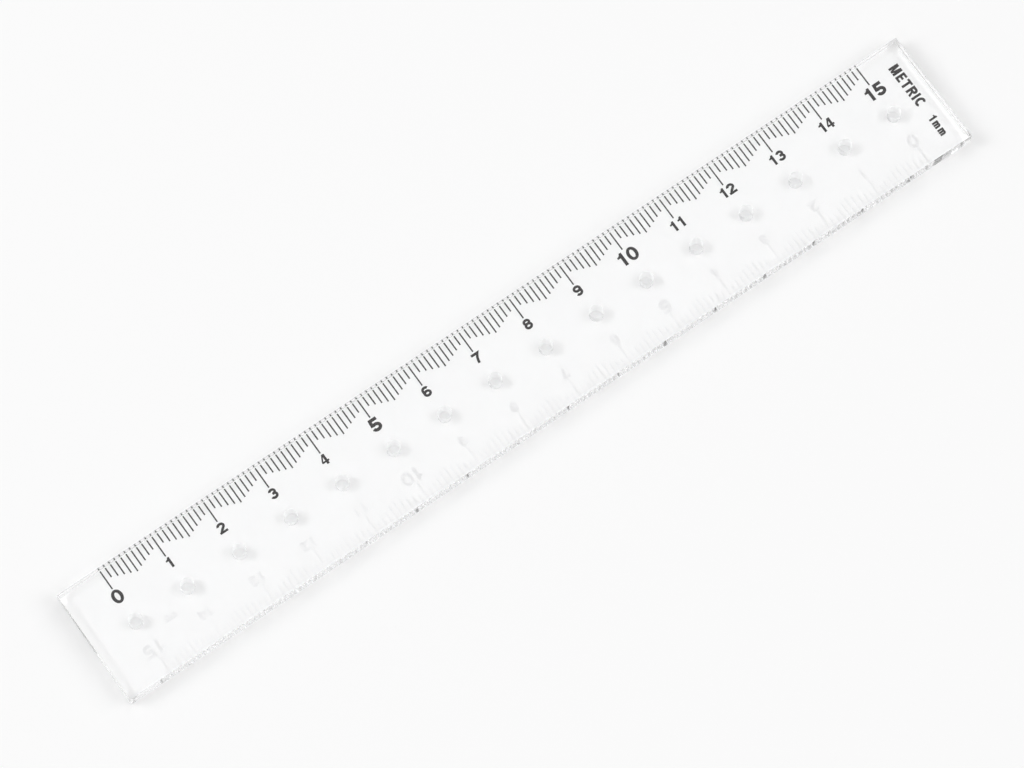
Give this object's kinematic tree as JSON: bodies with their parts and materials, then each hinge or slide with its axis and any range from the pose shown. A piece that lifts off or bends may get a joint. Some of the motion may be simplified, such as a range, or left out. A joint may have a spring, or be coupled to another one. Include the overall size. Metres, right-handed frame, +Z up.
{
  "type": "clear plastic ruler",
  "caption": "Clear acrylic 15 cm ruler with a black millimetre scale, a turned white scale and a row of small through holes along the middle.",
  "frame": {"origin": "in the middle of the underside, the face that carries the ink and rests on the table", "axes": "+X along the black scale from 0 to 15, +Y towards the edge with the black scale, +Z up out of the face the scales are read through"},
  "size_m": [0.166, 0.021, 0.003],
  "materials": {
    "clear_acrylic": "clear, polished",
    "black_ink": "hot stamped",
    "white_ink": "hot stamped"
  },
  "bodies": {
    "root": {"ruler_body": "clear_acrylic", "black_centimetre_ticks": "black_ink", "black_half_centimetre_ticks": "black_ink", "black_millimetre_ticks": "black_ink", "black_numeral_00": "black_ink", "black_numeral_01": "black_ink", "black_numeral_02": "black_ink", "black_numeral_03": "black_ink", "black_numeral_04": "black_ink", "black_numeral_05": "black_ink", "black_numeral_06": "black_ink", "black_numeral_07": "black_ink", "black_numeral_08": "black_ink", "black_numeral_09": "black_ink", "black_numeral_10": "black_ink", "black_numeral_11": "black_ink", "black_numeral_12": "black_ink", "black_numeral_13": "black_ink", "black_numeral_14": "black_ink", "black_numeral_15": "black_ink", "white_centimetre_ticks": "white_ink", "white_half_centimetre_ticks": "white_ink", "white_millimetre_ticks": "white_ink", "white_numeral_00": "white_ink", "white_numeral_01": "white_ink", "white_numeral_02": "white_ink", "white_numeral_03": "white_ink", "white_numeral_04": "white_ink", "white_numeral_05": "white_ink", "white_numeral_06": "white_ink", "white_numeral_07": "white_ink", "white_numeral_08": "white_ink", "white_numeral_09": "white_ink", "white_numeral_10": "white_ink", "white_numeral_11": "white_ink", "white_numeral_12": "white_ink", "white_numeral_13": "white_ink", "white_numeral_14": "white_ink", "white_numeral_15": "white_ink", "black_legend_word": "black_ink", "black_legend_unit": "black_ink", "white_legend_unit": "white_ink"}
  },
  "joints": []
}
